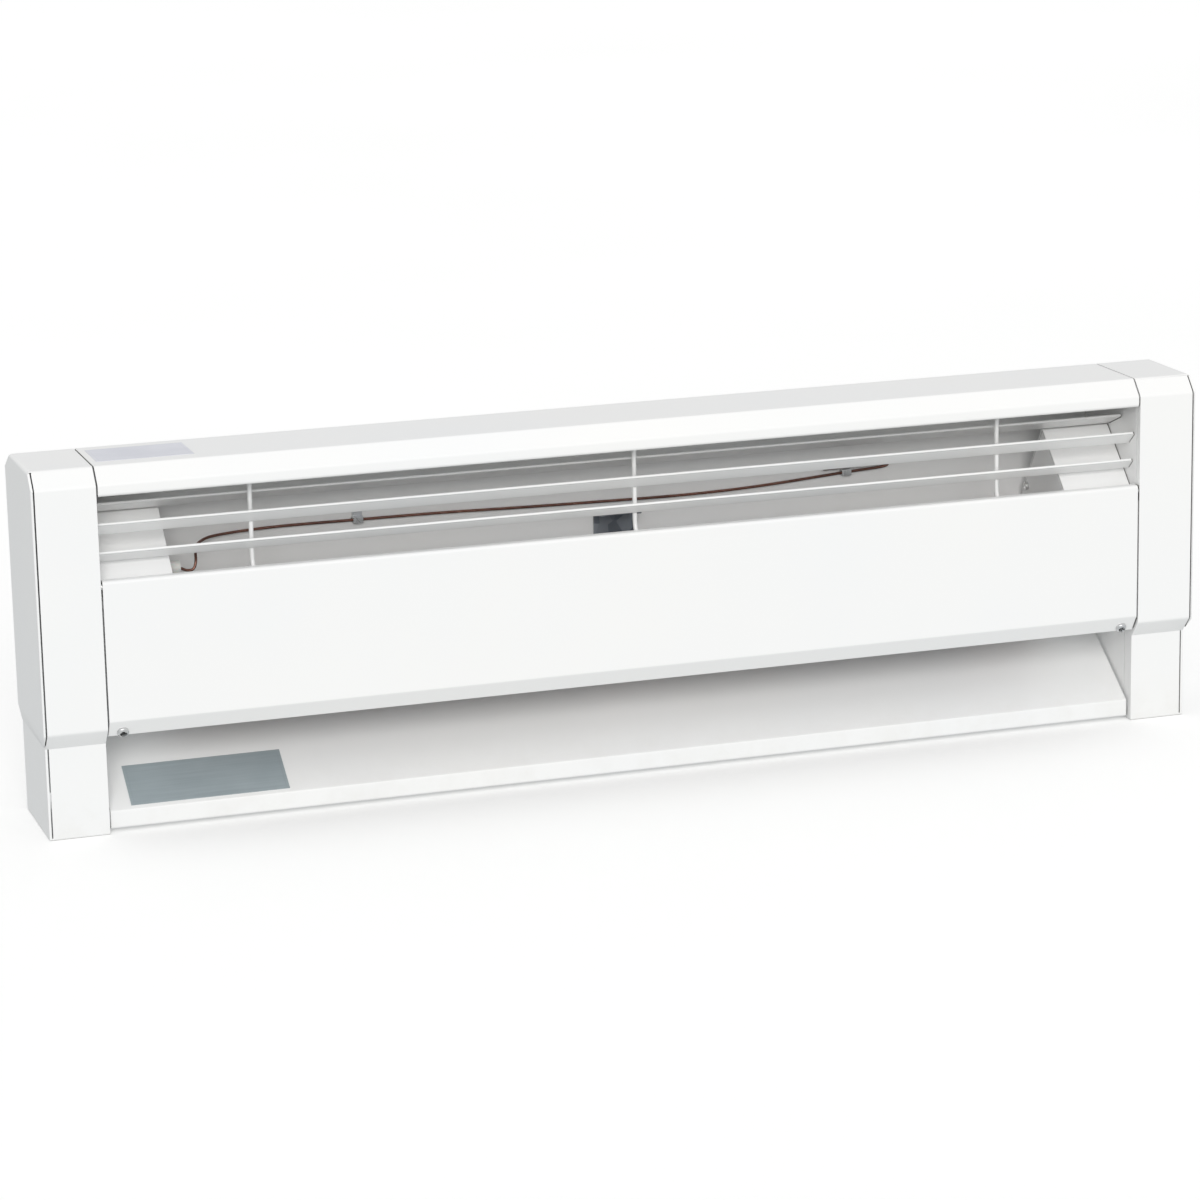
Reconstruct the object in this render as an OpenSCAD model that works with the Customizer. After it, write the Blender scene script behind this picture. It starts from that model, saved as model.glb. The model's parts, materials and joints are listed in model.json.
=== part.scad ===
// Hydronic electric baseboard heater: folded sheet casing, louvred outlet, finned element tube,
// a wiring compartment at each end. Millimetres. +Z up, X along the length, front at -Y,
// wall at +Y, origin on the floor under the middle of the casing.

/* [Casing] */
// Overall length
casing_length = 711; // [640:1:1200]
// Overall height above the floor
casing_height = 214; // [205:1:230]
// Overall depth from the front to the wall
casing_depth = 79; // [78:1:84]
// Thickness of the folded sheet
sheet = 1.2; // [1:0.1:1.4]
// Radius of the folds in the top cover and the end caps
fold_radius = 3; // [2:0.5:5]
// Length of each end cap
cap_length = 36.8; // [30:0.1:45]
// Gap at the seams between the cover, the panel and the caps
seam = 0.9; // [0.4:0.1:1.2]

/* [Front panel] */
// Height of the panel's top edge
panel_top = 149.6; // [145:0.1:150]
// Height of the fold above the panel's bottom lip
panel_fold = 68; // [66:0.5:72]
// Diameter of the panel's pivot pins
pivot_pin_d = 4; // [3:0.5:4.5]

/* [Outlet and intake] */
// Height of the cover's front lip above the floor
outlet_top = 197.8; // [196:0.1:200]
// Diameter of the round grille ribs
rib_d = 2.8; // [2:0.1:3]
// Distance from the centre rib to the outer ribs
rib_pitch = 230; // [180:1:232]
// Height of the kick plate in front of the pan
kick_height = 12.2; // [10:0.1:14]

/* [Element] */
// Outside diameter of the element tube
tube_d = 28.6; // [25:0.1:28.6]
// Wall of the element tube
tube_wall = 1.2; // [1:0.1:2]
// Depth of a fin
fin_depth = 50; // [40:1:52]
// Height of a fin
fin_height = 58; // [50:1:60]
// Distance from fin to fin
fin_pitch = 6.5; // [5:0.5:10]
// Thickness of a fin
fin_thickness = 0.5; // [0.4:0.1:1]

/* [Wiring] */
// Length of each wiring compartment, inside
compartment_length = 43.8; // [42:0.1:50]
// Diameter of the supply entry in the back panel
entry_d = 22.2; // [20:0.1:22.2]

/* [Wall fixing] */
// Distance between the wall screws along the length
wall_hole_spacing_x = 406.4; // [300:0.1:420]
// Diameter of the wall screw holes
wall_hole_d = 6; // [4:0.5:6]

/* [Hidden] */
$fn = 48;

eps = 0.01;
paint = "ivory";
bare_steel = "slategray";

half_length = casing_length / 2;
front_y = -casing_depth / 2;
wall_y = casing_depth / 2;
back_face = wall_y - sheet;
opening_x = half_length - cap_length;      // inner edge of each end cap
inner_end = opening_x - seam;              // ends of the cover and the front panel

// The casing's section, from the bottom of the end cap's lip up the front and back to the wall
foot_front = front_y + 8.7;
lip_bottom = 53.8;
lip_fold = 63.6;
chamfer = [8.5, 9.6];
rear_bevel = [16.6, 10];
cap_corners = [
    [foot_front, lip_bottom], [front_y, lip_fold],
    [front_y, casing_height - chamfer[1]], [front_y + chamfer[0], casing_height],
    [wall_y - rear_bevel[0], casing_height], [wall_y, casing_height - rear_bevel[1]]
];
lip_inset = 1.9;                           // how far the foot's side stands in from the cap's
cap_return = 5;                            // depth of the cap's flange beside the opening
corner_seam_x = half_length - 1.8;         // centre of the open seam down the cap's front
corner_seam = 0.7;
cap_flange = 12;                           // rear flange that the casing screws hold
cap_flange_z = [72, 190];
cap_screw_z = [86, 176];
cover_screw_x = [-290, 0, 290];
cover_screw_z = 192;
back_panel_z = [8, cover_screw_z + 10.4];
screw_r = 1.7;
screw_hole_r = 1.75;

// The pan's section, from its bottom return up the kick plate and the slope to the back panel
kick_front = -27;
kick_bottom = 1.7;
pan_rise = 0.7;                            // slope of the pan
pan_flange_top = 67.5;
pan_back_z = kick_height + pan_rise * (back_face - sheet - kick_front);

// Front panel and its pivot
panel_lip = [6.3, -9.6];                    // the bottom lip runs in and down by this
panel_flange = 6;
pivot = [front_y + 2.7, panel_top - 3.6];
ear = [6, 9.6];                            // depth and height of the ears that hold the pivots
panel_screw_x = opening_x - 9.2;
panel_screw_up = 2.9;                      // from the lip's lower edge
lip_angle = atan2(-panel_lip[1], panel_lip[0]);

// Grille blades: upper front edge, then lower rear edge
blade_upper = [[-13.9, 189], [5.8, 181]];
blade_middle = [[-31, 181], [-22.8, 173.9]];
blade_lower = [[-29, 164.1], [-22.8, 158.5]];
blade_bead_r = 0.78;
blade_tab_span = [0.08, 0.92];              // the part of a blade's depth that its tabs take
rib_y = blade_middle[1][0] + rib_d / 2 + 0.05;
rib_offset = 2.4;                          // the centre rib stands this far right of the middle
rail_y = -29.2;
rail_z = [132, 140.5];

// Wiring compartment: its outline from the front of its floor, over the ridge, to the back
compartment_x = opening_x - compartment_length;
compartment_floor = 62;
cover_corners = [[-26.4, 66], [-26.4, 147.6], [6.9, 180.4], [36.4, 135.2]];
cover_sheet = 1;
cover_screw_pos = [opening_x - compartment_length / 2, 112];
compartment_screws_at = [[31, 80], [28.4, 139.6]];   // Y and Z of the screws through its side wall
compartment_clear_z = 69;                  // its side wall stands clear of the pan below this
entry_pos = [opening_x - 21.25, 92];       // X and Z of the supply entry

// Element
element_y = 6;
element_z = 99;
tube_r = tube_d / 2;
tube_x = [-258, 284];
fin_banks = [[-236, -14], [32, 236]];      // clear of the supports
support_x = 250;
glide_r = tube_r + 2.4;
support_sheet = 1.5;
centre_support_x = 9;                      // middle of the centre support
centre_support_w = 26;
support_z = [76, 122];
centre_support_top = 147;
centre_glide_x = [for (s = [-1, 1]) centre_support_x + s * (centre_support_w - support_sheet) / 2];
end_rivet_z = [82, 116];
centre_rivet_z = [84, 126];

// Wall fixing
wall_hole_z = 184.5;

// Route of the capillary tube: out of the switch, through the compartment wall, up to the back
// panel, along it through the clips, with its closed end folded back
capillary_r = 0.9;
capillary_route = [
    [-292, 4, 136], [-285, 4, 141.4], [-277, 4, 143.4], [-266, 4, 143.5], [-260.5, 4, 141.4],
    [-256.4, 4.2, 141.8], [-254.6, 5, 146], [-253.6, 10, 150.4], [-250.6, 20, 151.4],
    [-245, 30, 152.2], [-234, 35, 153.4], [-200, 36.4, 154.8], [-150, 36.6, 154.5],
    [-100, 36.5, 154.2], [-50, 36.6, 153], [0, 36.5, 152.2], [50, 36.6, 151.6],
    [100, 36.5, 152.8], [158, 36.6, 156.7], [176, 36.2, 157.8], [183, 35.4, 158.7],
    [184.6, 34.8, 160], [179, 34.2, 160.8], [160, 34.2, 160.6], [142, 34.4, 160]
];
clip_x = [-150, 158];
clip_z = [154.5, 156.7];
bushing_pos = [4, 143.5];
bushing_r = 4;
bushing_length = 10.4;

// Connectors that take the house wires: the top centre of each
pigtail_connector = [-289, -17, 104];
return_connector = [-303, -17, 104];
connector_length = 15;

// Wires: from the heater's studs down to the compartment floor and along behind the fins
wire_r = 1.5;
stud_dy = 6;
stud_end = 302;
wire_run = [33.2, 67.9];
wire_gap = 3.4;
wire_hole_r = 4.4;
wire_stations = [284, 276, 256, 206, 80, -80, -206, -256, -276, -284];
wire_ends = [                              // left ends: one in the switch, one in a connector
    [[-286, 32.2, 69], [-295, 26, 77], [-304, 15, 94], [-307, 5, 109], [-307, 3, 117.8]],
    [[-286, 28, 69.4], [-292, 20, 79], [-298, 6, 96], [-302, -6, 109], [-303, -13, 113],
        [-303, -16.6, 110], return_connector + [0, 0, 0.3]]
];

// ---- geometry helpers ----

function unit(v) = v / norm(v);
function left_of(v) = [-v[1], v[0]];

// points of an arc of radius r that rounds the corner q between p and s
function rounded(p, q, s, r, steps = 5) =
    let (
        u = unit(p - q), v = unit(s - q), half = acos(u * v) / 2,
        c = q + unit(u + v) * r / sin(half), from = q + u * r / tan(half) - c,
        turn = (u[0] * v[1] - u[1] * v[0] > 0 ? -1 : 1) * (180 - 2 * half)
    )
    [for (k = [0:steps]) let (a = turn * k / steps)
        c + [from[0] * cos(a) - from[1] * sin(a), from[0] * sin(a) + from[1] * cos(a)]];

// an open path with its inner corners rounded
function folded(path, r) = [
    for (i = [0:len(path) - 1])
        for (q = i == 0 || i == len(path) - 1 ? [path[i]]
                : rounded(path[i - 1], path[i], path[i + 1], r)) q
];

// path point i moved by t to the path's left, on the mitre between its two runs
function mitred(path, i, t) =
    let (
        last = len(path) - 1,
        a = left_of(unit(i > 0 ? path[i] - path[i - 1] : path[1] - path[0])),
        b = left_of(unit(i < last ? path[i + 1] - path[i] : path[i] - path[i - 1])),
        m = unit(a + b)
    )
    path[i] + m * t / (m * a);

function shifted(path, t) = [for (i = [0:len(path) - 1]) mitred(path, i, t)];
function reversed(list) = [for (i = [len(list) - 1:-1:0]) list[i]];
function distinct(p) = [
    for (i = [0:len(p) - 1]) if (norm(p[i] - p[(i + 1) % len(p)]) > eps) p[i]
];
function sheet_outline(path, t) = concat(path, reversed(shifted(path, -t)));

// a smooth curve through points, with steps pieces between each two
function spline(p, steps) = [
    for (i = [0:len(p) - 2])
        for (k = [0:i == len(p) - 2 ? steps : steps - 1])
            let (
                t = k / steps, a = p[max(i - 1, 0)], b = p[i], c = p[i + 1],
                d = p[min(i + 2, len(p) - 1)]
            )
            0.5 * (2 * b + (c - a) * t + (2 * a - 5 * b + 4 * c - d) * t * t
                + (3 * b - a - 3 * c + d) * t * t * t)
];

function tangents(p) = [
    for (i = [0:len(p) - 1]) unit(p[min(i + 1, len(p) - 1)] - p[max(i - 1, 0)])
];

// normals carried along the tangents without twist
function carried(t, n, i = 0) = i == len(t) ? []
    : let (m = unit(n - (n * t[i]) * t[i])) concat([m], carried(t, m, i + 1));

// a round tube along 3-D points, with its ends closed
module swept(points, r, sides = 8, start = [0, 0, 1]) {
    t = tangents(points);
    n = carried(t, start);
    rings = [
        for (i = [0:len(points) - 1])
            for (k = [0:sides - 1]) let (a = 360 * k / sides)
                points[i] + r * (cos(a) * n[i] + sin(a) * cross(t[i], n[i]))
    ];
    last = (len(points) - 1) * sides;
    walls = [
        for (i = [0:len(points) - 2])
            for (k = [0:sides - 1]) let (a = i * sides + k, b = i * sides + (k + 1) % sides)
                [a, a + sides, b + sides, b]
    ];
    ends = [[for (k = [0:sides - 1]) k], [for (k = [sides - 1:-1:0]) last + k]];
    polyhedron(points = rings, faces = concat(walls, ends), convexity = 6);
}

// the (y, z) outline of children, drawn out along X from x0 to x1
module along_x(x0, x1) {
    translate([x0, 0, 0]) rotate([90, 0, 90]) linear_extrude(x1 - x0) children();
}

module folded_sheet(path, t, x0, x1) {
    along_x(x0, x1) polygon(sheet_outline(path, t));
}

module rod_x(x0, x1, y, z, r) {
    translate([x0, y, z]) rotate([0, 90, 0]) cylinder(h = x1 - x0, r = r);
}

module rod_y(y0, y1, x, z, r) {
    translate([x, y0, z]) rotate([-90, 0, 0]) cylinder(h = y1 - y0, r = r);
}

module block(low, high) {
    translate(low) cube(high - low);
}

module both_ends() {
    children();
    mirror([1, 0, 0]) children();
}

module left_of_middle() {
    mirror([1, 0, 0]) children();
}

// a pan-head screw that points to +Y, with its head's seat at y
module screw_y(x, y, z, length, head_r = 3.6, head_h = 2) {
    rod_y(y - eps, y + length, x, z, screw_r);
    difference() {
        rod_y(y - head_h, y, x, z, head_r);
        for (a = [0, 90])
            translate([x, y - head_h, z]) rotate([0, a, 0])
                cube([head_r * 1.1, 1.6, 0.8], center = true);
    }
}

// ---- casing ----

// the section of an end cap inside inset, closed at the wall; open_by carries it on past the
// wall and the bottom
module cap_section(inset, open_by) {
    path = folded(shifted(cap_corners, -inset), max(fold_radius - inset, 0.5));
    last = path[len(path) - 1];
    bevel = unit([rear_bevel[0], -rear_bevel[1]]);
    polygon(distinct(concat(
        [path[0] - [0, open_by]], path, [last + bevel * open_by],
        [[wall_y + open_by, lip_bottom - open_by]]
    )));
}

// the cap seen from the front: flat top, a fold, the side, and the side's lip
module cap_front(inset, open_by) {
    path = shifted(concat(
        [[opening_x, casing_height]],
        rounded([opening_x, casing_height], [half_length, casing_height],
            [half_length, lip_fold], 2.2),
        [[half_length, lip_fold], [half_length - lip_inset, lip_bottom]]
    ), -inset);
    last = path[len(path) - 1];
    polygon(distinct(concat(
        [[opening_x - open_by, path[0][1]]], path,
        [last - [0, open_by], [opening_x - open_by, lip_bottom - open_by]]
    )));
}

// the cap seen from above: the side and a tight front corner
module cap_plan(inset, open_by) {
    path = shifted(concat(
        [[half_length, wall_y + open_by]],
        rounded([half_length, wall_y], [half_length, front_y], [opening_x, front_y], 1.5),
        [[opening_x, front_y]]
    ), -inset);
    polygon(distinct(concat(path, [
        [opening_x - open_by, front_y + inset], [opening_x - open_by, wall_y + open_by]
    ])));
}

module cap_solid(inset, open_by) {
    intersection() {
        along_x(opening_x - open_by, half_length) cap_section(inset, open_by);
        translate([0, wall_y + open_by, 0]) rotate([90, 0, 0])
            linear_extrude(casing_depth + 2 * open_by + eps) cap_front(inset, open_by);
        linear_extrude(casing_height) cap_plan(inset, open_by);
    }
}

// the shell's flange beside the opening
module cap_return_flange() {
    along_x(opening_x, opening_x + sheet) difference() {
        cap_section(0, 0);
        cap_section(cap_return, 10);
        translate([wall_y - rear_bevel[0], 0]) square([rear_bevel[0] + 1, casing_height]);
    }
}

module end_cap() {
    chamfer_end = cap_corners[2] + 0.92 * (cap_corners[3] - cap_corners[2]);
    seam_path = [cap_corners[0], cap_corners[1], cap_corners[2], chamfer_end];
    color(paint) difference() {
        union() {
            difference() {
                cap_solid(0, 0);
                cap_solid(sheet, 10);
            }
            cap_return_flange();
            block([half_length - cap_flange, back_face - sheet, cap_flange_z[0]],
                [half_length - sheet / 2, back_face, cap_flange_z[1]]);
        }
        // the open seam between the front and the side
        along_x(corner_seam_x - corner_seam / 2, corner_seam_x + corner_seam / 2)
            polygon(concat(
                shifted(seam_path, 0.5), reversed(shifted(seam_path, -sheet - 0.5))
            ));
        // room for the foot's top
        block([opening_x - 1, foot_front, 0], [half_length - lip_inset, wall_y + 1, lip_fold]);
        for (z = cap_screw_z)
            rod_y(back_face - 2 * sheet, wall_y, half_length - cap_flange / 2, z, screw_hole_r);
    }
}

module right_end_cap() { end_cap(); }
module left_end_cap() { left_of_middle() end_cap(); }

module foot() {
    side_x = half_length - lip_inset;
    top = lip_fold - 0.6;
    color(paint) difference() {
        union() {
            block([opening_x, foot_front, 0], [side_x, foot_front + sheet, top]);
            block([side_x - sheet, foot_front, 0], [side_x, back_face - 0.3, top]);
            block([opening_x, foot_front, 0], [opening_x + sheet, foot_front + 10, top]);
            block([opening_x, foot_front, 0], [side_x, foot_front + 15, sheet]);
            block([side_x - 12, foot_front, 0], [side_x, back_face - 0.3, sheet]);
        }
        block([side_x - 1.4 - corner_seam, foot_front - 1, sheet],
            [side_x - 1.4, foot_front + sheet + eps, lip_fold]);
    }
}

module right_foot() { foot(); }
module left_foot() { left_of_middle() foot(); }

module top_cover() {
    path = concat(
        [[front_y + 6, outlet_top], [front_y, outlet_top]],
        [for (i = [2:5]) cap_corners[i]]
    );
    smooth = folded(path, 2);
    flange_z = [cover_screw_z - 3.8, casing_height - rear_bevel[1] + 0.4];
    color(paint) difference() {
        union() {
            folded_sheet(smooth, sheet, -inner_end, inner_end);
            block([-inner_end, back_face - sheet, flange_z[0]],
                [inner_end, back_face, flange_z[1]]);
        }
        block([-half_length, back_face, 0], [half_length, wall_y + 1, back_panel_z[1]]);
        for (x = cover_screw_x)
            rod_y(back_face - 2 * sheet, wall_y, x, cover_screw_z, screw_hole_r);
    }
}

module back_panel() {
    end_x = half_length - lip_inset - 0.4;
    color(paint) difference() {
        block([-end_x, back_face, back_panel_z[0]], [end_x, wall_y, back_panel_z[1]]);
        for (x = [-1, 1] * wall_hole_spacing_x / 2)
            rod_y(back_face - 1, wall_y + 1, x, wall_hole_z, wall_hole_d / 2);
        for (s = [-1, 1])
            rod_y(back_face - 1, wall_y + 1, s * entry_pos[0], entry_pos[1], entry_d / 2);
        for (s = [-1, 1], z = cap_screw_z)
            rod_y(back_face - 1, wall_y + 1, s * (half_length - cap_flange / 2), z,
                screw_hole_r);
        for (x = cover_screw_x)
            rod_y(back_face - 1, wall_y + 1, x, cover_screw_z, screw_hole_r);
        for (p = support_rivet_places())
            rod_y(back_face - 1, wall_y + 1, p[0], p[1], screw_hole_r);
    }
}

module end_wall() {
    inner = shifted(cap_corners, -cap_return - 0.3);
    color(paint) difference() {
        along_x(opening_x, opening_x + 1) polygon([
            [foot_front + 10.4, 5], [foot_front + 10.4, lip_fold],
            [inner[1][0], lip_fold + 2], inner[2], inner[3], inner[4],
            [back_face - sheet - 0.3, 198.5], [back_face - sheet - 0.3, 184],
            [back_face - eps, 184], [back_face - eps, 5]
        ]);
        for (b = [blade_upper, blade_middle, blade_lower])
            blade_tab(b, opening_x - 1, opening_x + 3, 0.3);
    }
}

module right_end_wall() { end_wall(); }
module left_end_wall() { left_of_middle() end_wall(); }

module base_pan() {
    path = [
        [kick_front + 12, kick_bottom], [kick_front, kick_bottom], [kick_front, kick_height],
        [back_face - sheet, pan_back_z], [back_face - sheet, pan_flange_top]
    ];
    color(paint) folded_sheet(folded(path, 1.5), sheet, -inner_end + 0.3, inner_end - 0.3);
}

// ---- front panel ----

// the frame of the bottom lip at its lower edge: X along the heater, Y up the lip, Z outward
module on_lip(x) {
    translate([x, front_y + panel_lip[0], panel_fold + panel_lip[1]])
        rotate([180 - lip_angle, 0, 0]) children();
}

module front_panel() {
    path = [
        [front_y + panel_flange, panel_top], [front_y, panel_top], [front_y, panel_fold],
        [front_y + panel_lip[0], panel_fold + panel_lip[1]]
    ];
    color(paint) difference() {
        union() {
            along_x(-inner_end, inner_end)
                polygon(sheet_outline(reversed(folded(path, 2)), sheet));
            for (s = [-1, 1])
                block([min(s * inner_end, s * (inner_end - sheet)), front_y + sheet / 2,
                        panel_top - ear[1]],
                    [max(s * inner_end, s * (inner_end - sheet)), front_y + ear[0],
                        panel_top - sheet / 2]);
        }
        rod_x(-half_length, half_length, pivot[0], pivot[1], pivot_pin_d / 2 + 0.05);
        for (s = [-1, 1])
            on_lip(s * panel_screw_x) translate([0, panel_screw_up, -3])
                cylinder(h = 6, r = screw_hole_r);
    }
}

module front_panel_screws() {
    head_r = 3.3;
    tip_r = 2;
    color("silver") for (s = [-1, 1])
        on_lip(s * panel_screw_x) translate([0, panel_screw_up, 0]) difference() {
            union() {
                translate([0, 0, -5.2]) cylinder(h = 5.2 + eps, r = screw_r);
                cylinder(h = 1.1, r = head_r);
                translate([0, 0, 1.1]) cylinder(h = 0.9, r1 = head_r, r2 = tip_r);
            }
            for (a = [0, 90])
                rotate([0, 0, a]) translate([-tip_r + 0.3, -0.4, 0.9])
                    cube([2 * tip_r - 0.6, 0.8, 2]);
        }
}

module panel_pivot_pins() {
    color("silver") both_ends()
        rod_x(opening_x - 3, opening_x, pivot[0], pivot[1], pivot_pin_d / 2);
}

// the place in the section that is up the lip from its lower edge, and behind its outer face
function behind_lip(up, depth) =
    [front_y + panel_lip[0], panel_fold + panel_lip[1]]
        + up * [-cos(lip_angle), sin(lip_angle)] + depth * [sin(lip_angle), cos(lip_angle)];

// forked tabs behind the lip: the screws clamp the lip to them, and slide out when loose
module panel_tabs() {
    gap = sheet + 0.4;
    depth = 1.5;
    slot_r = screw_r + 0.45;
    below = 1.8;
    color(bare_steel) both_ends() difference() {
        union() {
            on_lip(panel_screw_x) translate([-6.5, -below, -gap - depth])
                cube([opening_x - sheet / 2 - panel_screw_x + 6.5, 9 + below, depth]);
            along_x(opening_x - sheet, opening_x) polygon([
                behind_lip(8.8, gap + depth / 2), [front_y + 4.5, panel_fold + 10],
                [front_y + 11, panel_fold + 10], [front_y + 11, panel_fold - 4],
                behind_lip(1.5, gap + depth / 2)
            ]);
        }
        on_lip(panel_screw_x) translate([0, panel_screw_up, -6]) {
            cylinder(h = 6, r = slot_r);
            translate([-slot_r, 0, 0]) cube([2 * slot_r, 12, 6]);
        }
    }
}

// ---- grille ----

module blade_outline(blade, from, to, grow) {
    run = blade[1] - blade[0];
    path = [blade[0] + run * from, blade[0] + run * to];
    wide = [path[0] - unit(run) * grow, path[1] + unit(run) * grow];
    polygon(concat(shifted(wide, grow), reversed(shifted(wide, -sheet - grow))));
}

// the tab at a blade's end, which the end wall's slot takes
module blade_tab(blade, x0, x1, grow) {
    both_ends() along_x(x0, x1)
        blade_outline(blade, blade_tab_span[0], blade_tab_span[1], grow);
}

module blade(edges) {
    front = mitred(edges, 0, -sheet / 2);
    color(paint) {
        along_x(-inner_end + 0.3, inner_end - 0.3) blade_outline(edges, 0, 1, 0);
        rod_x(-inner_end + 0.3, inner_end - 0.3, front[0], front[1], blade_bead_r);
        blade_tab(edges, inner_end - 1, opening_x + 2.4, 0);
    }
}

module grille_blade_upper() { blade(blade_upper); }
module grille_blade_middle() { blade(blade_middle); }
module grille_blade_lower() { blade(blade_lower); }

// a wire rib, hooked forward into the cover's lip and down onto the rail
module rib(x) {
    rest_y = rail_y + sheet + rib_d / 2 + 0.1;
    route = [
        [rib_y - 12, outlet_top + 5], [rib_y - 8, outlet_top + 4.6],
        [rib_y - 2.6, outlet_top + 1], [rib_y, outlet_top - 6], [rib_y, 168], [rib_y, 152],
        [rib_y - 1.8, 146.5], [rest_y + 0.7, rail_z[1] + 1.5], [rest_y, rail_z[1] - 4],
        [rest_y, rail_z[0] + 1]
    ];
    color(paint) swept(spline([for (p = route) [x, p[0], p[1]]], 4), rib_d / 2, 12,
        [1, 0, 0]);
}

module grille_rib_left() { rib(rib_offset - rib_pitch); }
module grille_rib_centre() { rib(rib_offset); }
module grille_rib_right() { rib(rib_offset + rib_pitch); }

module grille_rail() {
    color(paint) block([-opening_x + eps, rail_y, rail_z[0]],
        [opening_x - eps, rail_y + sheet, rail_z[1]]);
}

// ---- wiring compartments ----

// a folded tray: side wall, floor and the tab for the cover's screw
module compartment() {
    x0 = compartment_x;
    inside = shifted(cover_corners, -cover_sheet - 0.1);
    front = inside[0][0] + 0.3;
    difference() {
        union() {
            along_x(x0, x0 + sheet) polygon([
                [front, compartment_floor], inside[1] + [0.35, -0.2],
                inside[2] - [0, 0.8], inside[3],
                [back_face, inside[3][1] - 3], [back_face, compartment_clear_z],
                [back_face - sheet - 0.3, compartment_clear_z],
                [back_face - sheet - 0.3, compartment_floor]
            ]);
            block([x0, front, compartment_floor],
                [opening_x - eps, back_face - sheet - 0.3, compartment_floor + sheet]);
            // the tab behind the cover that takes its screw
            block([x0, front, cover_screw_pos[1] - 7],
                [cover_screw_pos[0] + 5, front + sheet, cover_screw_pos[1] + 7]);
        }
        rod_y(front - 1, front + 3, cover_screw_pos[0], cover_screw_pos[1], screw_hole_r);
        rod_x(x0 - 1, x0 + 3, element_y, element_z, glide_r + 1);
        rod_x(x0 - 1, x0 + 3, wire_run[0] - wire_gap / 2, wire_run[1], wire_hole_r);
        for (p = compartment_screws_at) rod_x(x0 - 1, x0 + 3, p[0], p[1], screw_hole_r);
    }
}

module right_wiring_compartment() { color(paint) compartment(); }

module left_wiring_compartment() {
    color(paint) difference() {
        left_of_middle() compartment();
        rod_x(-compartment_x - 3, -compartment_x + 3, bushing_pos[0], bushing_pos[1],
            bushing_r - 1);
    }
}

module wiring_cover() {
    color(paint) difference() {
        folded_sheet(folded(cover_corners, 1.6), cover_sheet, compartment_x,
            opening_x - 0.4);
        rod_y(-30, -20, cover_screw_pos[0], cover_screw_pos[1], screw_hole_r);
    }
}

module right_wiring_cover() { wiring_cover(); }
module left_wiring_cover() { left_of_middle() wiring_cover(); }

module wiring_cover_screws() {
    color("silver") both_ends()
        screw_y(cover_screw_pos[0], cover_corners[0][0], cover_screw_pos[1], 6, 3.4, 1.1);
}

module compartment_screws() {
    color("silver") both_ends() for (p = compartment_screws_at)
        translate([compartment_x, p[0], p[1]]) rotate([0, 0, -90])
            screw_y(0, 0, 0, 2 * sheet + 1.5, 2.5, 1.6);
}

// tabs on the back panel, just inside each compartment's side wall, which take its screws
module compartment_tabs() {
    x0 = compartment_x + sheet + eps;
    color(paint) both_ends() difference() {
        union() {
            along_x(x0, x0 + sheet) polygon([
                [25, 76], [back_face, 72], [back_face, 88], [25, 84]
            ]);
            along_x(x0, x0 + sheet) polygon([
                [24.6, 130], [back_face, 124], [back_face, 131.2], [34.4, 134], [28.8, 142.6],
                [24.6, 142.6]
            ]);
        }
        for (p = compartment_screws_at) rod_x(x0 - 1, x0 + 3, p[0], p[1], screw_hole_r);
    }
}

// ---- element ----

module element_tube() {
    color("peru") difference() {
        rod_x(tube_x[0], tube_x[1], element_y, element_z, tube_r);
        rod_x(tube_x[0] - 1, tube_x[1] + 1, element_y, element_z, tube_r - tube_wall);
    }
}

// a thin plate whose hole grips the tube
module fin(x) {
    difference() {
        translate([x, element_y, element_z])
            cube([fin_thickness, fin_depth, fin_height], center = true);
        rod_x(x - 2, x + 2, element_y, element_z, tube_r);
    }
}

module element_fins() {
    color("silver") for (bank = fin_banks)
        for (x = [bank[0]:fin_pitch:bank[1]]) fin(x);
}

// the rod in the fluid, its hexagon head and its two terminal studs
module immersion_heater() {
    head_x = tube_x[1];
    color("darkgray") {
        rod_x(-190, head_x + 1, element_y, element_z - 4, 4);
        rod_x(head_x - 6, head_x, element_y, element_z, tube_r - tube_wall);
        translate([head_x, element_y, element_z]) rotate([0, 90, 0])
            cylinder(h = 8, r = 17, $fn = 6);
        for (s = [-1, 1]) {
            rod_x(head_x + 7, head_x + 12, element_y + s * stud_dy, element_z, 3.4);
            rod_x(head_x + 11, stud_end, element_y + s * stud_dy, element_z, 1.6);
        }
    }
}

module element_end_cap() {
    color("peru") difference() {
        rod_x(tube_x[0] - 3, tube_x[0] + 3, element_y, element_z, tube_r + 1);
        rod_x(tube_x[0], tube_x[0] + 4, element_y, element_z, tube_r);
        rod_x(tube_x[0] - 4, tube_x[0] + 1, element_y, element_z, 4);
    }
}

module fill_plug() {
    color("gold") {
        rod_x(tube_x[0] - 3, tube_x[0] + 2, element_y, element_z, 4);
        translate([tube_x[0] - 8, element_y, element_z]) rotate([0, 90, 0])
            cylinder(h = 5, r = 6, $fn = 6);
    }
}

function support_rivet_places() = [
    for (s = [-1, 1], z = end_rivet_z) [s * (support_x - 8), z],
    for (z = centre_rivet_z) [centre_support_x, z]
];

module support_plate(x) {
    difference() {
        block([x - support_sheet / 2, -14, support_z[0]],
            [x + support_sheet / 2, back_face, support_z[1]]);
        rod_x(x - 2, x + 2, element_y, element_z, glide_r);
    }
}

module end_support() {
    color("lightgray") difference() {
        union() {
            support_plate(support_x);
            block([support_x - 14, back_face - support_sheet, support_z[0]],
                [support_x, back_face, support_z[1]]);
        }
        for (z = end_rivet_z) rod_y(30, wall_y, support_x - 8, z, screw_hole_r);
    }
}

module right_element_support() { end_support(); }
module left_element_support() { left_of_middle() end_support(); }

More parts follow.
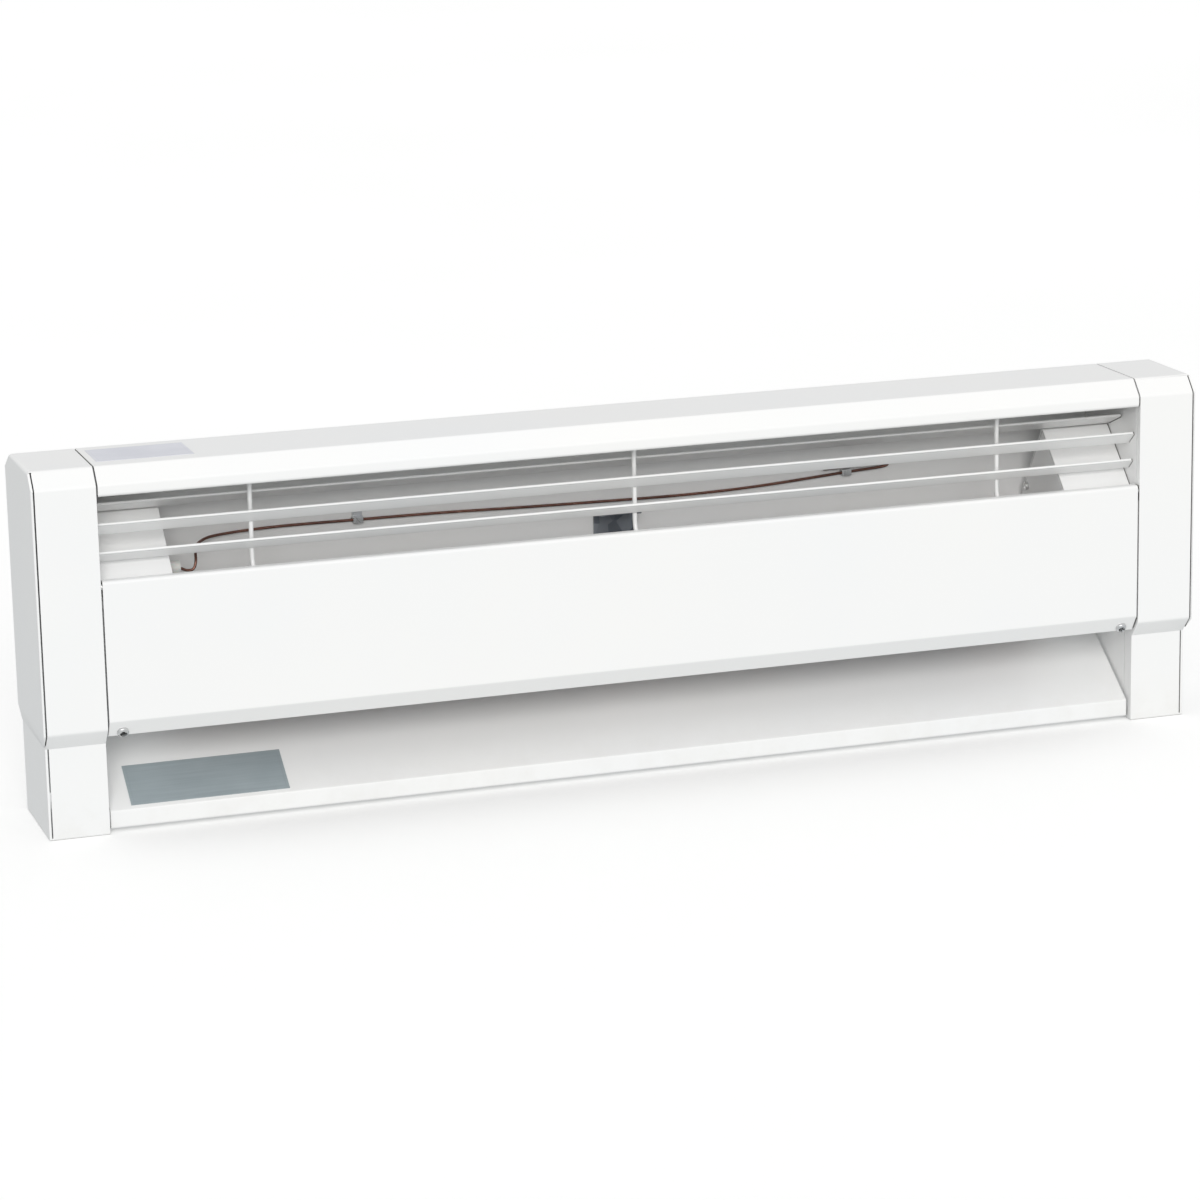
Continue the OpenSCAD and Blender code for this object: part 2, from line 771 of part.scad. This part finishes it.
// a channel: a tall back web with a folded tab at its top, and a cheek at each side
module centre_element_support() {
    half = centre_support_w / 2;
    left = centre_support_x - half;
    right = centre_support_x + half;
    color(bare_steel) difference() {
        union() {
            for (x = centre_glide_x) support_plate(x);
            block([left, back_face - support_sheet, support_z[0]],
                [right, back_face, centre_support_top]);
            block([left, back_face - 14, centre_support_top - support_sheet],
                [right, back_face, centre_support_top]);
        }
        for (z = centre_rivet_z) rod_y(30, wall_y, centre_support_x, z, screw_hole_r);
    }
}

module glide(x) {
    difference() {
        union() {
            rod_x(x - 2.4, x + 2.4, element_y, element_z, glide_r - 0.02);
            rod_x(x - 2.4, x - support_sheet / 2 - 0.02, element_y, element_z, glide_r + 1.6);
        }
        rod_x(x - 3, x + 3, element_y, element_z, tube_r + 0.08);
    }
}

module element_glides() {
    color("white") {
        for (s = [-1, 1]) glide(s * support_x);
        for (x = centre_glide_x) glide(x);
    }
}

module support_rivets() {
    color("silver") for (p = support_rivet_places()) {
        rod_y(back_face - support_sheet - eps, wall_y - 0.1, p[0], p[1], screw_r);
        rod_y(back_face - support_sheet - 1, back_face - support_sheet, p[0], p[1], 3.2);
    }
}

// ---- wiring and controls ----

module limit_switch() {
    color("dimgray") {
        block([-312, -6, 118], [-284, 14, 134]);
        block([-310, -2, compartment_floor + sheet], [-308.8, 10, 118 + eps]);
        rod_x(-284 - eps, -281, 0, 124, 5);
        for (y = [-1, 9]) block([-305, y, 134 - eps], [-304.2, y + 5, 140]);
    }
    color("dimgray") translate([-292, 4, 134 - eps]) cylinder(h = 1.2, r = 3);
}

module capillary_tube() {
    color("sienna") swept(spline(capillary_route, 3), capillary_r, 8);
}

module capillary_bushing() {
    color("white") difference() {
        union() {
            rod_x(-compartment_x - sheet - 1, -compartment_x + bushing_length,
                bushing_pos[0], bushing_pos[1], bushing_r - 1.1);
            rod_x(-compartment_x + eps, -compartment_x + bushing_length, bushing_pos[0],
                bushing_pos[1], bushing_r);
        }
        rod_x(-compartment_x - 6, -compartment_x + 12, bushing_pos[0], bushing_pos[1], 1.3);
    }
}

module capillary_clips() {
    color("silver") for (i = [0, 1]) difference() {
        union() {
            block([clip_x[i] - 3, 37.6, clip_z[i] - 2], [clip_x[i] + 3, back_face, clip_z[i] + 5]);
            block([clip_x[i] - 3, 34.6, clip_z[i] - 2], [clip_x[i] + 3, 38, clip_z[i] + 2]);
        }
        rod_x(clip_x[i] - 4, clip_x[i] + 4, 36.6, clip_z[i], capillary_r + 0.15);
    }
}

// one wire from a heater stud to the left compartment: the rear stud feeds the rear run
module through_wire(s) {
    row = (1 - s) / 2;
    stud_y = element_y + s * stud_dy;
    y = wire_run[0] - row * wire_gap;
    z = wire_run[1];
    swept(spline(concat([
        [stud_end + 0.3, stud_y, element_z], [stud_end + 6, stud_y, element_z - 1],
        [stud_end + 9, stud_y + 1, element_z - 10], [stud_end + 8, stud_y + 6, element_z - 20],
        [stud_end + 3 + s * 1.5, y - 9, z + 5], [stud_end - 6 + s * 1.5, y - 2, z + 1],
        for (x = wire_stations) [x, y, z]
    ], wire_ends[row]), 4), wire_r, 8);
}

module through_wires() {
    color("firebrick") {
        through_wire(-1);
        through_wire(1);
    }
}

module wire_bushings() {
    y = wire_run[0] - wire_gap / 2;
    color("black") both_ends() difference() {
        union() {
            rod_x(compartment_x - 1.6, compartment_x - eps, y, wire_run[1], wire_hole_r + 1);
            rod_x(compartment_x - 1.6, compartment_x + sheet + 1.2, y, wire_run[1],
                wire_hole_r - 0.05);
        }
        rod_x(compartment_x - 3, compartment_x + 4, y, wire_run[1], wire_hole_r - 0.8);
    }
}

// short leads from the switch's blades to the connectors that take the house wires
module supply_pigtails() {
    color("black") {
        swept(spline([
            [-304.6, 2, 140.3], [-304, 0, 147], [-299, -6, 151], [-293, -12, 146],
            [-290, -16, 132], [-289, -17, 118], pigtail_connector + [0, 0, 0.4]
        ], 4), wire_r, 8);
    }
}

module wire_connector(top) {
    cone = 12;
    translate(top - [0, 0, cone]) cylinder(h = cone, r1 = 3, r2 = 5);
    translate(top - [0, 0, connector_length]) cylinder(h = connector_length - cone + eps, r = 3);
}

module wire_connectors() {
    color("orange") {
        wire_connector(pigtail_connector);
        wire_connector(return_connector);
    }
}

module ground_screw() {
    color("green") translate([-300, -14, compartment_floor + sheet]) {
        cylinder(h = 2.4, r = 4.4, $fn = 6);
        translate([0, 0, 2.4 - eps]) cylinder(h = 1, r = 3);
    }
}

module knockout_plug() {
    color("silver") {
        rod_y(back_face - 1.2, back_face - 0.05, entry_pos[0], entry_pos[1], entry_d / 2 + 2);
        rod_y(back_face - 0.06, wall_y - 0.3, entry_pos[0], entry_pos[1], entry_d / 2 - 0.1);
    }
}

module casing_screws() {
    color("silver") {
        both_ends() for (z = cap_screw_z)
            screw_y(half_length - cap_flange / 2, back_face - sheet, z, 2 * sheet - 0.1);
        for (x = cover_screw_x)
            screw_y(x, back_face - sheet, cover_screw_z, 2 * sheet - 0.1);
    }
}

// ---- plates ----

module rating_plate() {
    plate = [93, 29.2, 0.4];
    up_slope = 2.9;
    color("lightsteelblue") translate([14 - opening_x, kick_front, kick_height])
        rotate([atan(pan_rise), 0, 0]) translate([0, up_slope, eps]) cube(plate);
}

module cover_label() {
    corner = [-inner_end + 3.8, -20, casing_height];
    color("lightsteelblue") block(corner, corner + [56, 34, 0.15]);
}

back_panel();
top_cover();
left_end_cap();
right_end_cap();
left_foot();
right_foot();
left_end_wall();
right_end_wall();
base_pan();
front_panel();
front_panel_screws();
panel_pivot_pins();
panel_tabs();
grille_blade_upper();
grille_blade_middle();
grille_blade_lower();
grille_rib_left();
grille_rib_centre();
grille_rib_right();
grille_rail();
left_wiring_compartment();
right_wiring_compartment();
left_wiring_cover();
right_wiring_cover();
wiring_cover_screws();
compartment_screws();
compartment_tabs();
element_tube();
element_fins();
immersion_heater();
element_end_cap();
fill_plug();
left_element_support();
centre_element_support();
right_element_support();
element_glides();
support_rivets();
limit_switch();
capillary_tube();
capillary_bushing();
capillary_clips();
through_wires();
wire_bushings();
supply_pigtails();
wire_connectors();
ground_screw();
knockout_plug();
casing_screws();
rating_plate();
cover_label();
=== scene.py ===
import json
import math

import bmesh
import bpy
from mathutils import Matrix, Vector


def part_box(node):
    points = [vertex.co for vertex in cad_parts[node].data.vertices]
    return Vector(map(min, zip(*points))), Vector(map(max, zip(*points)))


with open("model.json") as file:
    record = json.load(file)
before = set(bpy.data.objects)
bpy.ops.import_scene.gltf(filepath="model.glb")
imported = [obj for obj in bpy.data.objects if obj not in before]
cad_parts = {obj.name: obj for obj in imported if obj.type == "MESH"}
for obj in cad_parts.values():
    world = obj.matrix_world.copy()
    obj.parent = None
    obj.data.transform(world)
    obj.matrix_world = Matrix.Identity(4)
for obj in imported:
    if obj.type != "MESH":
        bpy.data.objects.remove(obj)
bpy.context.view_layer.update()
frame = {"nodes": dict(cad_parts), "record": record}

MM = 0.001
MICRON = 0.001 * MM

# A colour mix's sockets share their names with those of its other kinds, so they go by number.
MIX_A, MIX_B, MIX_OUT = 6, 7, 2


def direction(azimuth, elevation):
    """The unit vector from the heater to that azimuth (0 is straight in front) and elevation."""
    flat = math.cos(elevation)
    return Vector((math.sin(azimuth) * flat, -math.cos(azimuth) * flat, math.sin(elevation)))


# ---- camera ----

VIEW_AZIMUTH = math.radians(-18.01)
VIEW_ELEVATION = math.radians(13.84)
VIEW_ROLL = math.radians(-1.16)
VIEW_DISTANCE = 2.4013
VIEW_TARGET = Vector((-0.0159, -0.0083, 0.1032))
VIEW_LENS_MM = 122.05
SENSOR_MM = 36.0
CLIP_NEAR, CLIP_FAR = 0.05, 100


def make_camera():
    """A camera at the real viewpoint: in front, a little left of the middle and a little above."""
    back = direction(VIEW_AZIMUTH, VIEW_ELEVATION)
    side = (-back).cross(Vector((0, 0, 1))).normalized()
    rise = side.cross(-back)
    right = side * math.cos(VIEW_ROLL) + rise * math.sin(VIEW_ROLL)
    up = rise * math.cos(VIEW_ROLL) - side * math.sin(VIEW_ROLL)
    turn = Matrix((right, up, back)).transposed()
    data = bpy.data.cameras.new("camera")
    data.lens, data.sensor_width = VIEW_LENS_MM, SENSOR_MM
    data.clip_start, data.clip_end = CLIP_NEAR, CLIP_FAR
    camera = bpy.data.objects.new("camera", data)
    bpy.context.scene.collection.objects.link(camera)
    camera.matrix_world = Matrix.Translation(VIEW_TARGET + back * VIEW_DISTANCE) @ turn.to_4x4()
    bpy.context.scene.camera = camera


# ---- studio ----

FLOOR_HALF_SIZE = 20.0
FLOOR_CELLS = 8
FLOOR_WARM, FLOOR_COOL = (0.93, 0.93, 0.925), (0.95, 0.95, 0.945)
FLOOR_GLOW = 0.15                          # lifts the floor to the photo's pure white
SKY = (0.735, 0.74, 0.745)                 # the light from the studio's upper half
GROUND = (0.60, 0.617, 0.62)               # and from its lower half
HORIZON = 0.1                              # the two blend between -HORIZON and HORIZON
KEY_AZIMUTH, KEY_ELEVATION = math.radians(-14), math.radians(23.5)
KEY_WIDTH = math.radians(30)               # as the heater sees it, so its shadows are soft
KEY_POWER, KEY_COLOUR = 1.4, (1.0, 0.985, 0.965)


def make_key_light():
    """A large soft key light in front, a little left and above."""
    data = bpy.data.lights.new("key", "SUN")
    data.angle, data.energy, data.color = KEY_WIDTH, KEY_POWER, KEY_COLOUR
    light = bpy.data.objects.new("key", data)
    bpy.context.scene.collection.objects.link(light)
    light.rotation_mode = "QUATERNION"
    light.rotation_quaternion = (-direction(KEY_AZIMUTH, KEY_ELEVATION)).to_track_quat("-Z", "Y")


def make_world():
    """Even light from all round: a white tent above, and a greyer sweep below."""
    world = bpy.data.worlds.new("studio")
    world.use_nodes = True
    nodes, link = world.node_tree.nodes, world.node_tree.links.new
    place = nodes.new("ShaderNodeTexCoord")
    split = nodes.new("ShaderNodeSeparateXYZ")
    blend = nodes.new("ShaderNodeMapRange")
    mix = nodes.new("ShaderNodeMix")
    mix.data_type = "RGBA"
    mix.inputs[MIX_A].default_value = (*GROUND, 1)
    mix.inputs[MIX_B].default_value = (*SKY, 1)
    blend.inputs["From Min"].default_value = -HORIZON
    blend.inputs["From Max"].default_value = HORIZON
    link(place.outputs["Generated"], split.inputs["Vector"])
    link(split.outputs["Z"], blend.inputs["Value"])
    link(blend.outputs["Result"], mix.inputs["Factor"])
    link(mix.outputs[MIX_OUT], nodes["Background"].inputs["Color"])
    bpy.context.scene.world = world


def make_floor():
    """A plain pale floor, far larger than the view, that catches the heater's shadow.

    It neither lights the heater nor shows in it: the world's lower half does that instead.
    """
    mesh = bpy.data.meshes.new("floor")
    bm = bmesh.new()
    bmesh.ops.create_grid(bm, x_segments=FLOOR_CELLS, y_segments=FLOOR_CELLS,
                          size=FLOOR_HALF_SIZE)
    bm.to_mesh(mesh)
    bm.free()
    floor = bpy.data.objects.new("floor", mesh)
    bpy.context.scene.collection.objects.link(floor)
    floor.visible_diffuse = floor.visible_glossy = False
    s = Surface("floor_white", Roughness=0.85, Emission_Color=(1, 1, 1, 1),
                Emission_Strength=FLOOR_GLOW)
    s.mottle(FLOOR_WARM, FLOOR_COOL, 1.3)
    mesh.materials.append(s.made)


# ---- procedural surfaces ----
#
# A texture's scale is in repeats a metre, and a bump's depth is in metres.

NOISE_RANGE = (0.3, 0.7)                   # where nearly all of a noise's values lie
BAND_DETAIL = 1.0
CREVICE_SAMPLES = 8
OPEN_VIEW, DEEP_VIEW = 0.62, 0.30          # the share of its surroundings that a surface sees
BORDER_INSET = 1.6 * MM
BORDER_WIDTH = 0.4 * MM


class Surface:
    """A principled material whose colour, roughness and bump are built up in layers of nodes."""

    def __init__(self, name, **settings):
        self.made = bpy.data.materials.new(name)
        self.made.use_nodes = True
        self.nodes = self.made.node_tree.nodes
        self.join = self.made.node_tree.links.new
        self.shader = self.nodes["Principled BSDF"]
        self.fill(self.shader, settings)
        self.place = self.nodes.new("ShaderNodeTexCoord").outputs["Object"]
        self.normal = None

    def feed(self, socket, value):
        """Gives a socket a fixed value or another node's output."""
        if isinstance(value, bpy.types.NodeSocket):
            self.join(value, socket)
        else:
            socket.default_value = value

    def fill(self, node, inputs):
        for key, value in inputs.items():
            self.feed(node.inputs[key.replace("_", " ")], value)

    def node(self, kind, **inputs):
        """A new node. An input such as From_Min is the one that Blender calls From Min."""
        node = self.nodes.new(kind)
        self.fill(node, inputs)
        return node

    def mapped(self, scale=(1, 1, 1), turn=(0, 0, 0)):
        """The place on the piece, in metres, scaled along each axis and turned."""
        return self.node("ShaderNodeMapping", Vector=self.place, Scale=scale,
                         Rotation=turn).outputs["Vector"]

    def noise(self, scale, detail=3, roughness=0.5, stretch=(1, 1, 1), distortion=0):
        return self.node("ShaderNodeTexNoise", Vector=self.mapped(stretch), Scale=scale,
                         Detail=detail, Roughness=roughness,
                         Distortion=distortion).outputs["Fac"]

    def cells(self, scale, output="Distance"):
        return self.node("ShaderNodeTexVoronoi", Vector=self.mapped(),
                         Scale=scale).outputs[output]

    def bands(self, scale, direction="X", distortion=0, turn=(0, 0, 0)):
        node = self.node("ShaderNodeTexWave", Vector=self.mapped(turn=turn), Scale=scale,
                         Distortion=distortion, Detail=BAND_DETAIL)
        node.bands_direction = direction
        return node.outputs["Fac"]

    def between(self, value, low, high, to_low=0, to_high=1):
        """value mapped from low..high to to_low..to_high, and held there."""
        return self.node("ShaderNodeMapRange", Value=value, From_Min=low, From_Max=high,
                         To_Min=to_low, To_Max=to_high).outputs["Result"]

    def math(self, operation, a, b):
        node = self.nodes.new("ShaderNodeMath")
        node.operation = operation
        for socket, value in zip(node.inputs, (a, b)):
            self.feed(socket, value)
        return node.outputs[0]

    def blend(self, a, share_a, b, share_b):
        """Each value times its share, added together."""
        return self.math("ADD", self.math("MULTIPLY", a, share_a),
                         self.math("MULTIPLY", b, share_b))

    def mix(self, factor, a, b):
        """Colour a where factor is 0, b where it is 1. Each is a colour or a socket."""
        node = self.nodes.new("ShaderNodeMix")
        node.data_type = "RGBA"
        self.join(factor, node.inputs["Factor"])
        for number, value in ((MIX_A, a), (MIX_B, b)):
            self.feed(node.inputs[number], (*value, 1) if isinstance(value, tuple) else value)
        return node.outputs[MIX_OUT]

    def colour(self, value):
        self.join(value, self.shader.inputs["Base Color"])

    def mottle(self, a, b, scale, detail=3):
        """A base colour that drifts between a and b."""
        self.colour(self.mix(self.between(self.noise(scale, detail), *NOISE_RANGE), a, b))

    def rough(self, value, low, high):
        self.join(self.between(value, *NOISE_RANGE, low, high), self.shader.inputs["Roughness"])

    def bump(self, height, depth, strength):
        """Adds a layer of relief to those before it."""
        node = self.node("ShaderNodeBump", Height=height, Distance=depth, Strength=strength)
        if self.normal is not None:
            self.join(self.normal, node.inputs["Normal"])
        self.normal = node.outputs["Normal"]
        self.join(self.normal, self.shader.inputs["Normal"])

    def crevice(self, reach):
        """1 deep in a gap or an inner corner, 0 where the surface is open for that reach: the mask
        for painted shade.
        """
        node = self.node("ShaderNodeAmbientOcclusion", Distance=reach)
        node.samples = CREVICE_SAMPLES
        return self.between(node.outputs["AO"], OPEN_VIEW, DEEP_VIEW)

    def along(self, axis):
        """The place along the piece's X, Y or Z, in metres."""
        return self.node("ShaderNodeSeparateXYZ", Vector=self.place).outputs[axis]

    def border(self, low, high):
        """A fine line a little inside the box low..high, seen from above."""
        inside = None
        for axis, a, b in (("X", low[0], high[0]), ("Y", low[1], high[1])):
            middle, half = (a + b) / 2, (b - a) / 2
            off = self.math("ABSOLUTE", self.math("SUBTRACT", self.along(axis), middle), 0)
            depth = self.math("SUBTRACT", half, off)
            inside = depth if inside is None else self.math("MINIMUM", inside, depth)
        rise = self.between(inside, BORDER_INSET - BORDER_WIDTH, BORDER_INSET)
        fall = self.between(inside, BORDER_INSET + 2 * BORDER_WIDTH, BORDER_INSET + BORDER_WIDTH)
        return self.math("MULTIPLY", rise, fall)


PAINT_WARM = (0.896, 0.895, 0.886)
PAINT_COOL = (0.882, 0.887, 0.888)
# Painted shade: the near-black colour laid into gaps, seams and inner corners where ambient
# occlusion finds them.
SHADE_IN_GAPS = (0.16, 0.155, 0.14)
GAP_REACH = 2.2 * MM
SPECK_COLOUR, SPECK_STRENGTH = (0.55, 0.53, 0.49), 0.35
SPECK_SCALE = 420
DUST_COLOUR, DUST_STRENGTH = (0.66, 0.63, 0.57), 0.22
DUST_TOP = 30 * MM


def white_paint(name):
    """Satin powder coat: a fine orange peel, a slow drift of tone, dust low down, and painted
    shade in gaps and inner corners.
    """
    s = Surface(name, Coat_Weight=0.25, Coat_Roughness=0.18, Specular_IOR_Level=0.45)
    base = s.mix(s.between(s.noise(7), 0.35, 0.65), PAINT_WARM, PAINT_COOL)
    dots = s.between(s.cells(SPECK_SCALE), 0.035, 0.02)
    specks = s.math("MULTIPLY", dots, s.between(s.noise(60, 2), 0.58, 0.66))
    base = s.mix(s.math("MULTIPLY", specks, SPECK_STRENGTH), base, SPECK_COLOUR)
    low_down = s.between(s.along("Z"), DUST_TOP, 0)
    dust = s.math("MULTIPLY", low_down, s.between(s.noise(55, 5, 0.65), 0.42, 0.75))
    base = s.mix(s.math("MULTIPLY", dust, DUST_STRENGTH), base, DUST_COLOUR)
    # Painted shade: the paint is darkened towards near-black in gaps and inner corners, from the
    # occlusion mask.
    s.colour(s.mix(s.crevice(GAP_REACH), base, SHADE_IN_GAPS))
    s.rough(s.noise(24, 4), 0.30, 0.42)
    s.bump(s.noise(5, 1), 400 * MICRON, 0.20)
    s.bump(s.noise(650, 2, 0.4), 60 * MICRON, 0.35)
    return s.made


SPANGLE_SCALE = 130


def galvanised(name, light, dark, rough_low, rough_high):
    """Zinc-dipped sheet: spangles with a soft edge, and rolling lines along the sheet."""
    s = Surface(name, Metallic=0.85)
    grey = s.node("ShaderNodeRGBToBW", Color=s.cells(SPANGLE_SCALE, "Color")).outputs["Val"]
    tone = s.blend(grey, 0.6, s.noise(40, 4), 0.4)
    s.colour(s.mix(s.between(tone, 0.2, 0.8), dark, light))
    s.rough(tone, rough_low, rough_high)
    s.bump(s.noise(300, stretch=(0.1, 1, 1)), 50 * MICRON, 0.3)
    s.bump(s.cells(SPANGLE_SCALE), 80 * MICRON, 0.15)
    return s.made


def plated_screw(name):
    """Bright zinc plating, slightly pitted."""
    s = Surface(name, Metallic=1.0)
    s.mottle((0.66, 0.68, 0.71), (0.80, 0.80, 0.79), 90)
    s.rough(s.noise(400), 0.22, 0.42)
    s.bump(s.noise(900), 40 * MICRON, 0.35)
    return s.made


def green_screw(name):
    """Green lacquer over plating, for the ground screw."""
    s = Surface(name, Metallic=0.5)
    s.mottle((0.05, 0.30, 0.10), (0.10, 0.42, 0.17), 300)
    s.rough(s.noise(500), 0.3, 0.5)
    s.bump(s.noise(900, 2), 30 * MICRON, 0.3)
    return s.made


def copper(name, fresh, tarnished, stretch, tarnish_from):
    """Drawn copper that has browned in patches, with draw lines along it."""
    s = Surface(name, Metallic=1.0)
    patches = s.between(s.noise(22, 5, 0.6, distortion=0.6), tarnish_from, tarnish_from + 0.25)
    streaks = s.between(s.noise(260, stretch=stretch), 0.35, 0.65)
    tone = s.mix(patches, fresh, tarnished)
    s.colour(s.mix(s.math("MULTIPLY", streaks, 0.35), tone, tarnished))
    s.rough(s.blend(patches, 0.5, streaks, 0.3), 0.26, 0.52)
    s.bump(s.noise(500, 2, stretch=stretch), 30 * MICRON, 0.4)
    return s.made


def turned_brass(name):
    """Brass with fine turning marks."""
    s = Surface(name, Metallic=1.0)
    s.mottle((0.80, 0.62, 0.30), (0.66, 0.50, 0.25), 60, detail=5)
    s.rough(s.noise(180), 0.25, 0.45)
    s.bump(s.bands(700, distortion=1.5), 30 * MICRON, 0.5)
    return s.made


def fin_aluminium(name):
    """Thin rolled strip: rolling lines up the fins, and each fin its own slight tone."""
    s = Surface(name, Metallic=0.9)
    lines = s.noise(240, stretch=(1, 1, 0.08))
    each_fin = s.noise(160, 0, stretch=(1, 0, 0))
    tone = s.blend(lines, 0.5, each_fin, 0.5)
    s.colour(s.mix(s.between(tone, 0.35, 0.65), (0.60, 0.62, 0.65), (0.78, 0.79, 0.80)))
    s.rough(lines, 0.30, 0.48)
    s.bump(lines, 80 * MICRON, 0.4)
    return s.made


def moulded(name, a, b, rough_low, rough_high, translucency=0):
    """Moulded plastic: a faint flow pattern and a fine mould texture."""
    s = Surface(name, Subsurface_Weight=translucency, Subsurface_Scale=2 * MM)
    s.mottle(a, b, 70, detail=4)
    s.rough(s.noise(300), rough_low, rough_high)
    s.bump(s.noise(1400, 2), 40 * MICRON, 0.4)
    return s.made


def braided(name, yarn, gap):
    """A braided sleeve: two sets of slanting yarns that cross."""
    s = Surface(name, Sheen_Weight=0.3, Sheen_Roughness=0.5)
    one, other = (s.bands(330, "DIAGONAL", turn=(0, math.radians(angle), 0))
                  for angle in (0, 90))
    weave = s.math("MULTIPLY", one, other)
    fuzz = s.noise(1500)
    tone = s.blend(weave, 0.7, fuzz, 0.3)
    s.colour(s.mix(s.between(tone, 0.1, 0.6), gap, yarn))
    s.rough(fuzz, 0.55, 0.8)
    s.bump(weave, 150 * MICRON, 0.6)
    s.bump(fuzz, 50 * MICRON, 0.4)
    return s.made


def plate(name, node, light, dark, metallic, rough_low, rough_high, brushing):
    """A blank plate or label: fine brushing, a faint ground tint and a printed border."""
    s = Surface(name, Metallic=metallic)
    brush = s.noise(900, 2, stretch=(0.03, 1, 1))
    tone = s.blend(brush, brushing, s.noise(30), 1 - brushing)
    base = s.mix(s.between(tone, *NOISE_RANGE), dark, light)
    s.colour(s.mix(s.math("MULTIPLY", s.border(*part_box(node)), 0.35), base, dark))
    s.rough(brush, rough_low, rough_high)
    s.bump(brush, 10 * MICRON, 0.5)
    return s.made


def make_materials():
    """Every material slot in the record, by its name."""
    lengthways, all_ways = (0.04, 1, 1), (1, 1, 1)
    makers = {
        "white_paint": (white_paint,),
        "galvanised": (galvanised, (0.72, 0.74, 0.76), (0.48, 0.50, 0.53), 0.35, 0.55),
        "dark_steel": (galvanised, (0.36, 0.39, 0.43), (0.18, 0.20, 0.23), 0.38, 0.55),
        "zinc_screw": (plated_screw,),
        "green_paint": (green_screw,),
        "copper": (copper, (0.80, 0.45, 0.30), (0.42, 0.23, 0.15), lengthways, 0.45),
        "copper_capillary": (copper, (0.46, 0.24, 0.18), (0.20, 0.11, 0.09), all_ways, 0.35),
        "brass": (turned_brass,),
        "fin_aluminium": (fin_aluminium,),
        "white_plastic": (moulded, (0.84, 0.84, 0.80), (0.88, 0.87, 0.84), 0.40, 0.55, 0.15),
        "black_plastic": (moulded, (0.030, 0.030, 0.033), (0.055, 0.053, 0.052), 0.35, 0.5),
        "orange_plastic": (moulded, (0.80, 0.28, 0.03), (0.88, 0.35, 0.06), 0.35, 0.5, 0.1),
        "red_insulation": (braided, (0.50, 0.07, 0.05), (0.16, 0.02, 0.02)),
        "black_insulation": (braided, (0.06, 0.06, 0.06), (0.015, 0.015, 0.015)),
        "silver_label": (plate, "rating_plate", (0.40, 0.46, 0.485), (0.32, 0.375, 0.40),
                         0.15, 0.32, 0.45, 0.45),
        "grey_label": (plate, "cover_label", (0.76, 0.77, 0.82), (0.64, 0.65, 0.71),
                       0.0, 0.40, 0.55, 0.3),
    }
    return {slot: make(slot, *settings) for slot, (make, *settings) in makers.items()}


# ---- the CAD pieces: clean edges and their own surfaces ----

MERGE_DISTANCE = 10 * MICRON
SHARP_ANGLE = math.radians(32)             # a rounded fold's own steps are smaller
BEVEL_ANGLE = math.radians(34)
FLAT_ANGLE = math.radians(0.6)
BEVEL_SEGMENTS = 2
WIRE_SUBDIVISIONS = 2
SHEET_EDGE = 0.25 * MM
LABEL_EDGE = 0.02 * MM
LABELS = ("rating_plate", "cover_label")
ROUND_WIRES = ("grille_rib_left", "grille_rib_centre", "grille_rib_right", "capillary_tube",
               "through_wires", "supply_pigtails")


def shading_nodes():
    """Joins split vertices, then shades smooth except across sharp edges."""
    group = bpy.data.node_groups.new("clean_shading", "GeometryNodeTree")
    for way in ("INPUT", "OUTPUT"):
        group.interface.new_socket("Geometry", in_out=way, socket_type="NodeSocketGeometry")
    made = {key: group.nodes.new(kind) for key, kind in {
        "in": "NodeGroupInput", "merge": "GeometryNodeMergeByDistance",
        "faces": "GeometryNodeSetShadeSmooth", "edges": "GeometryNodeSetShadeSmooth",
        "angle": "GeometryNodeInputMeshEdgeAngle", "sharp": "FunctionNodeCompare",
        "out": "NodeGroupOutput",
    }.items()}
    made["merge"].inputs["Distance"].default_value = MERGE_DISTANCE
    made["faces"].domain, made["edges"].domain = "FACE", "EDGE"
    made["edges"].inputs["Shade Smooth"].default_value = False
    made["sharp"].operation = "GREATER_THAN"
    made["sharp"].inputs["B"].default_value = SHARP_ANGLE
    link = group.links.new
    link(made["in"].outputs[0], made["merge"].inputs["Geometry"])
    link(made["merge"].outputs["Geometry"], made["faces"].inputs["Geometry"])
    link(made["faces"].outputs["Geometry"], made["edges"].inputs["Geometry"])
    link(made["angle"].outputs["Unsigned Angle"], made["sharp"].inputs["A"])
    link(made["sharp"].outputs["Result"], made["edges"].inputs["Selection"])
    link(made["edges"].outputs["Geometry"], made["out"].inputs[0])
    return group


def finish_node(piece, shading, edge):
    """Rounds a CAD piece's raw edges and evens out its shading, with modifiers only."""
    clean = piece.modifiers.new("clean", "NODES")
    clean.node_group = shading
    if piece.name in ROUND_WIRES:
        round_off = piece.modifiers.new("round", "SUBSURF")
        round_off.levels = round_off.render_levels = WIRE_SUBDIVISIONS
        return
    flat = piece.modifiers.new("flat", "DECIMATE")
    flat.decimate_type = "DISSOLVE"
    flat.angle_limit = FLAT_ANGLE
    rounded = piece.modifiers.new("edges", "BEVEL")
    rounded.width, rounded.segments = edge, BEVEL_SEGMENTS
    rounded.limit_method, rounded.angle_limit = "ANGLE", BEVEL_ANGLE
    rounded.use_clamp_overlap = False
    normals = piece.modifiers.new("normals", "WEIGHTED_NORMAL")
    normals.keep_sharp = False


def dress_nodes(materials):
    """Gives every CAD piece its slot's material and its finish."""
    shading = shading_nodes()
    slot_of = {s["node"]: s["material_slot"] for s in frame["record"]["subparts"]}
    for name, piece in frame["nodes"].items():
        slot = slot_of[name]
        piece.data.materials.clear()
        piece.data.materials.append(materials[slot])
        finish_node(piece, shading, LABEL_EDGE if name in LABELS else SHEET_EDGE)


make_camera()
make_world()
make_floor()
make_key_light()
bpy.context.scene.view_settings.view_transform = "Standard"
dress_nodes(make_materials())
